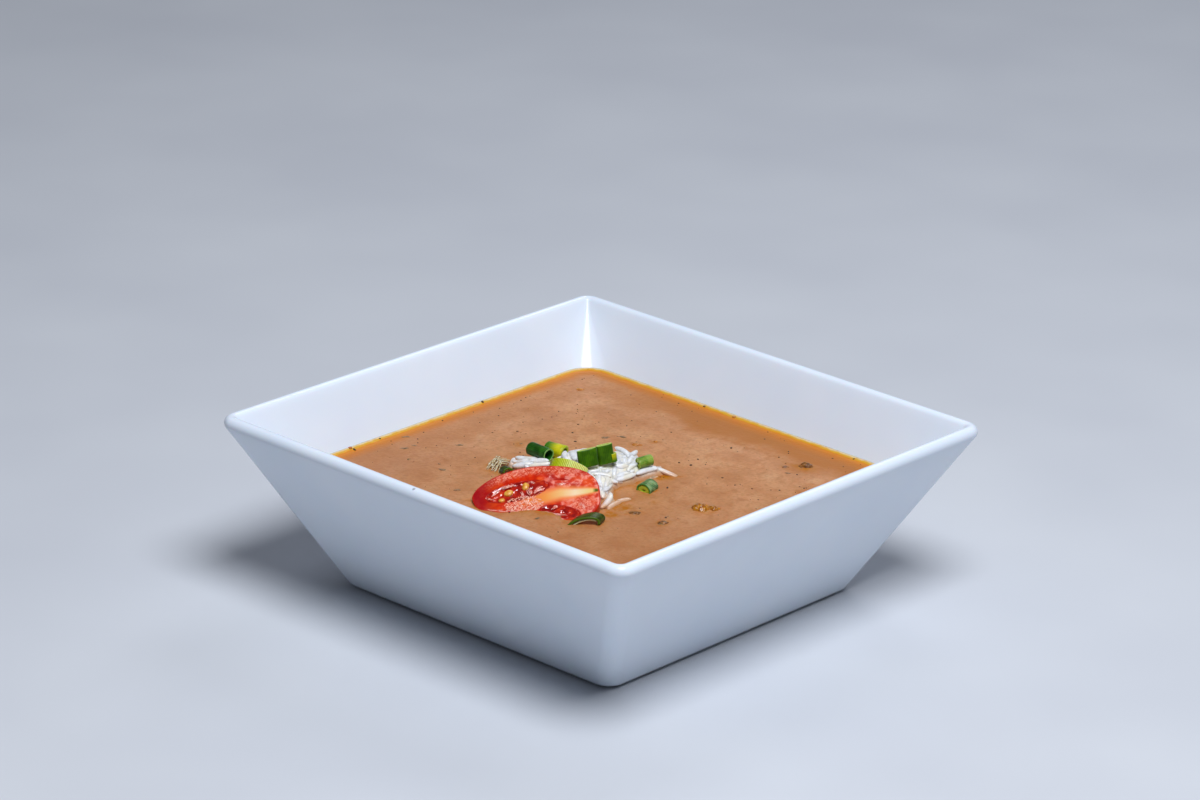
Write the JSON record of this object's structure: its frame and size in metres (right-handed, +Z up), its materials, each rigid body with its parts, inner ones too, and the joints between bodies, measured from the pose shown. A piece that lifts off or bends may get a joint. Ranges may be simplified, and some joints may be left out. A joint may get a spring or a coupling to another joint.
{
  "type": "bowl of gumbo",
  "caption": "Square white soup bowl with flared walls, filled with creamy gumbo and garnished with rice, a cut plum tomato and scallions.",
  "frame": {"origin": "on the table, under the middle of the bowl's foot", "axes": "+Z up; X and Y along the bowl's sides; the corner at -X -Y faces the diner"},
  "size_m": [0.15, 0.15, 0.05],
  "materials": {
    "porcelain": "white glazed porcelain, smooth and glossy",
    "gumbo": "creamy tan roux soup, satin wet surface with an oily rim",
    "rice": "cooked long grain rice, moist and slightly translucent",
    "tomato_flesh": "wet cut tomato flesh with glossy skin",
    "tomato_gel": "glossy tomato jelly with yellow seeds",
    "scallion_dark": "dark green scallion leaf, waxy",
    "scallion_green": "mid green scallion leaf, waxy",
    "scallion_lime": "lime green scallion leaf, waxy",
    "scallion_pale": "pale ribbed scallion shaft",
    "onion": "translucent shred of onion"
  },
  "bodies": {
    "root": {"bowl": "porcelain", "soup": "gumbo", "rice": "rice", "tomato_flesh": "tomato_flesh", "tomato_gel_upper": "tomato_gel", "tomato_gel_lower": "tomato_gel", "scallion_tube_left": "scallion_dark", "scallion_tube_lime": "scallion_lime", "scallion_block_left": "scallion_dark", "scallion_block_right": "scallion_green", "scallion_tube_right": "scallion_green", "scallion_tube_low": "scallion_dark", "scallion_band": "scallion_pale", "scallion_arch": "scallion_dark", "scallion_fragment": "scallion_dark", "onion_shred": "onion"}
  },
  "joints": []
}
